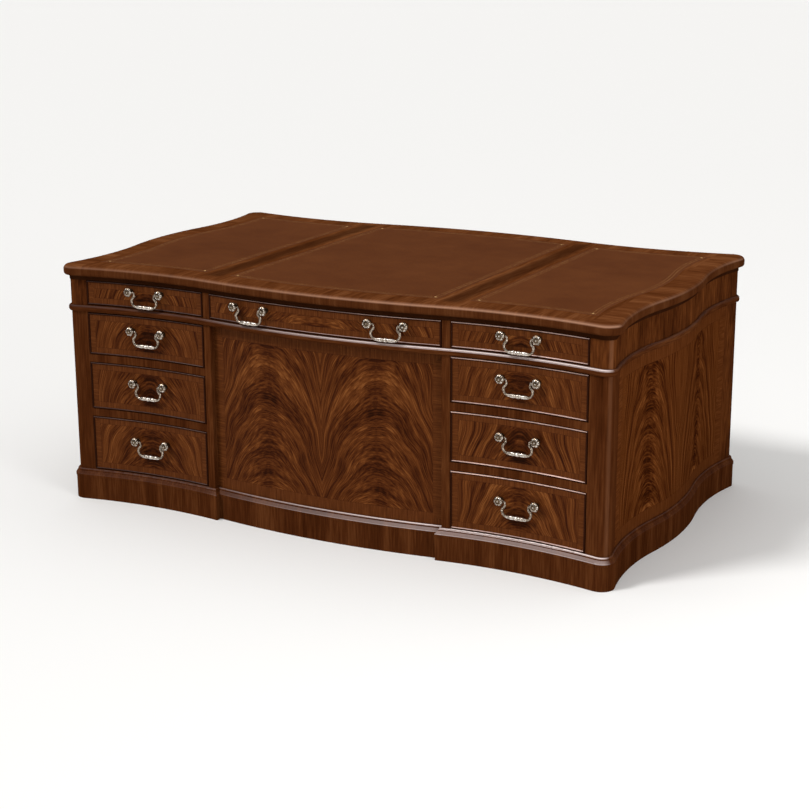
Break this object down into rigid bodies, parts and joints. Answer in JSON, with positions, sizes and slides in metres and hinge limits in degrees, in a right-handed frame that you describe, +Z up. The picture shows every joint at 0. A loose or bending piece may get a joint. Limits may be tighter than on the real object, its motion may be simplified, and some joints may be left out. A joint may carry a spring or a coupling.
{
  "type": "pedestal desk",
  "caption": "Serpentine mahogany pedestal desk with sliding drawers, swinging brass bails, a leather-lined top and a kneehole closed by a bowed panel on the drawer side.",
  "frame": {"origin": "on the floor, under the middle of the desk", "axes": "+X along the desk, to the right for someone who faces the drawers; -Y towards that person; +Z up"},
  "size_m": [1.9296, 1.187, 0.781],
  "materials": {
    "flame_mahogany_veneer": "polished",
    "solid_mahogany": "polished",
    "drawer_lining": "waxed",
    "tooled_leather": "satin",
    "antique_brass": "worn polish"
  },
  "bodies": {
    "carcass": {"centre_plinth": "solid_mahogany", "desk_top": "solid_mahogany", "frieze_back": "flame_mahogany_veneer", "frieze_ends": "flame_mahogany_veneer", "frieze_front_frame": "solid_mahogany", "frieze_inner_boards": "drawer_lining", "knee_panel": "flame_mahogany_veneer", "leather_centre": "tooled_leather", "leather_left": "tooled_leather", "leather_right": "tooled_leather", "left_back": "flame_mahogany_veneer", "left_end_panel": "flame_mahogany_veneer", "left_face_frame": "solid_mahogany", "left_inner_boards": "drawer_lining", "left_inner_side": "flame_mahogany_veneer", "left_plinth": "solid_mahogany", "right_back": "flame_mahogany_veneer", "right_end_panel": "flame_mahogany_veneer", "right_face_frame": "solid_mahogany", "right_inner_boards": "drawer_lining", "right_inner_side": "flame_mahogany_veneer", "right_plinth": "solid_mahogany", "waist_moulding": "solid_mahogany"},
    "left_frieze_drawer": {"left_frieze_drawer_front": "flame_mahogany_veneer", "left_frieze_drawer_box": "drawer_lining", "left_frieze_drawer_pull_posts": "antique_brass"},
    "left_upper_drawer": {"left_upper_drawer_front": "flame_mahogany_veneer", "left_upper_drawer_box": "drawer_lining", "left_upper_drawer_pull_posts": "antique_brass"},
    "left_middle_drawer": {"left_middle_drawer_front": "flame_mahogany_veneer", "left_middle_drawer_box": "drawer_lining", "left_middle_drawer_pull_posts": "antique_brass"},
    "left_lower_drawer": {"left_lower_drawer_front": "flame_mahogany_veneer", "left_lower_drawer_box": "drawer_lining", "left_lower_drawer_pull_posts": "antique_brass"},
    "right_frieze_drawer": {"right_frieze_drawer_front": "flame_mahogany_veneer", "right_frieze_drawer_box": "drawer_lining", "right_frieze_drawer_pull_posts": "antique_brass"},
    "right_upper_drawer": {"right_upper_drawer_front": "flame_mahogany_veneer", "right_upper_drawer_box": "drawer_lining", "right_upper_drawer_pull_posts": "antique_brass"},
    "right_middle_drawer": {"right_middle_drawer_front": "flame_mahogany_veneer", "right_middle_drawer_box": "drawer_lining", "right_middle_drawer_pull_posts": "antique_brass"},
    "right_lower_drawer": {"right_lower_drawer_front": "flame_mahogany_veneer", "right_lower_drawer_box": "drawer_lining", "right_lower_drawer_pull_posts": "antique_brass"},
    "centre_drawer": {"centre_drawer_front": "flame_mahogany_veneer", "centre_drawer_box": "drawer_lining", "centre_drawer_pull_posts": "antique_brass"},
    "left_frieze_drawer_bail": {"left_frieze_drawer_bail": "antique_brass"},
    "left_upper_drawer_bail": {"left_upper_drawer_bail": "antique_brass"},
    "left_middle_drawer_bail": {"left_middle_drawer_bail": "antique_brass"},
    "left_lower_drawer_bail": {"left_lower_drawer_bail": "antique_brass"},
    "right_frieze_drawer_bail": {"right_frieze_drawer_bail": "antique_brass"},
    "right_upper_drawer_bail": {"right_upper_drawer_bail": "antique_brass"},
    "right_middle_drawer_bail": {"right_middle_drawer_bail": "antique_brass"},
    "right_lower_drawer_bail": {"right_lower_drawer_bail": "antique_brass"},
    "centre_drawer_left_bail": {"centre_drawer_left_bail": "antique_brass"},
    "centre_drawer_right_bail": {"centre_drawer_right_bail": "antique_brass"}
  },
  "joints": [
    {"name": "left_frieze_drawer_slide", "type": "slide", "parent": "carcass", "child": "left_frieze_drawer", "axis": [0, -1, 0], "range_m": [0, 0.38]},
    {"name": "left_upper_drawer_slide", "type": "slide", "parent": "carcass", "child": "left_upper_drawer", "axis": [0, -1, 0], "range_m": [0, 0.38]},
    {"name": "left_middle_drawer_slide", "type": "slide", "parent": "carcass", "child": "left_middle_drawer", "axis": [0, -1, 0], "range_m": [0, 0.38]},
    {"name": "left_lower_drawer_slide", "type": "slide", "parent": "carcass", "child": "left_lower_drawer", "axis": [0, -1, 0], "range_m": [0, 0.38]},
    {"name": "right_frieze_drawer_slide", "type": "slide", "parent": "carcass", "child": "right_frieze_drawer", "axis": [0, -1, 0], "range_m": [0, 0.38]},
    {"name": "right_upper_drawer_slide", "type": "slide", "parent": "carcass", "child": "right_upper_drawer", "axis": [0, -1, 0], "range_m": [0, 0.38]},
    {"name": "right_middle_drawer_slide", "type": "slide", "parent": "carcass", "child": "right_middle_drawer", "axis": [0, -1, 0], "range_m": [0, 0.38]},
    {"name": "right_lower_drawer_slide", "type": "slide", "parent": "carcass", "child": "right_lower_drawer", "axis": [0, -1, 0], "range_m": [0, 0.38]},
    {"name": "centre_drawer_slide", "type": "slide", "parent": "carcass", "child": "centre_drawer", "axis": [0, -1, 0], "range_m": [0, 0.38]},
    {"name": "left_frieze_drawer_bail_swing", "type": "hinge", "parent": "left_frieze_drawer", "child": "left_frieze_drawer_bail", "pos_m": [-0.64806, -0.54343, 0.708], "axis": [-0.9996, -0.0293, 0], "range_deg": [0, 95]},
    {"name": "left_upper_drawer_bail_swing", "type": "hinge", "parent": "left_upper_drawer", "child": "left_upper_drawer_bail", "pos_m": [-0.64806, -0.54343, 0.581], "axis": [-0.9996, -0.0293, 0], "range_deg": [0, 95]},
    {"name": "left_middle_drawer_bail_swing", "type": "hinge", "parent": "left_middle_drawer", "child": "left_middle_drawer_bail", "pos_m": [-0.64806, -0.54343, 0.40825], "axis": [-0.9996, -0.0293, 0], "range_deg": [0, 95]},
    {"name": "left_lower_drawer_bail_swing", "type": "hinge", "parent": "left_lower_drawer", "child": "left_lower_drawer_bail", "pos_m": [-0.64806, -0.54343, 0.214], "axis": [-0.9996, -0.0293, 0], "range_deg": [0, 95]},
    {"name": "right_frieze_drawer_bail_swing", "type": "hinge", "parent": "right_frieze_drawer", "child": "right_frieze_drawer_bail", "pos_m": [0.64806, -0.54343, 0.708], "axis": [-0.9996, 0.0293, 0], "range_deg": [0, 95]},
    {"name": "right_upper_drawer_bail_swing", "type": "hinge", "parent": "right_upper_drawer", "child": "right_upper_drawer_bail", "pos_m": [0.64806, -0.54343, 0.581], "axis": [-0.9996, 0.0293, 0], "range_deg": [0, 95]},
    {"name": "right_middle_drawer_bail_swing", "type": "hinge", "parent": "right_middle_drawer", "child": "right_middle_drawer_bail", "pos_m": [0.64806, -0.54343, 0.40825], "axis": [-0.9996, 0.0293, 0], "range_deg": [0, 95]},
    {"name": "right_lower_drawer_bail_swing", "type": "hinge", "parent": "right_lower_drawer", "child": "right_lower_drawer_bail", "pos_m": [0.64806, -0.54343, 0.214], "axis": [-0.9996, 0.0293, 0], "range_deg": [0, 95]},
    {"name": "centre_drawer_left_bail_swing", "type": "hinge", "parent": "centre_drawer", "child": "centre_drawer_left_bail", "pos_m": [-0.23695, -0.57662, 0.708], "axis": [-0.9955, 0.0944, 0], "range_deg": [0, 95]},
    {"name": "centre_drawer_right_bail_swing", "type": "hinge", "parent": "centre_drawer", "child": "centre_drawer_right_bail", "pos_m": [0.23695, -0.57662, 0.708], "axis": [-0.9955, -0.0944, 0], "range_deg": [0, 95]}
  ]
}
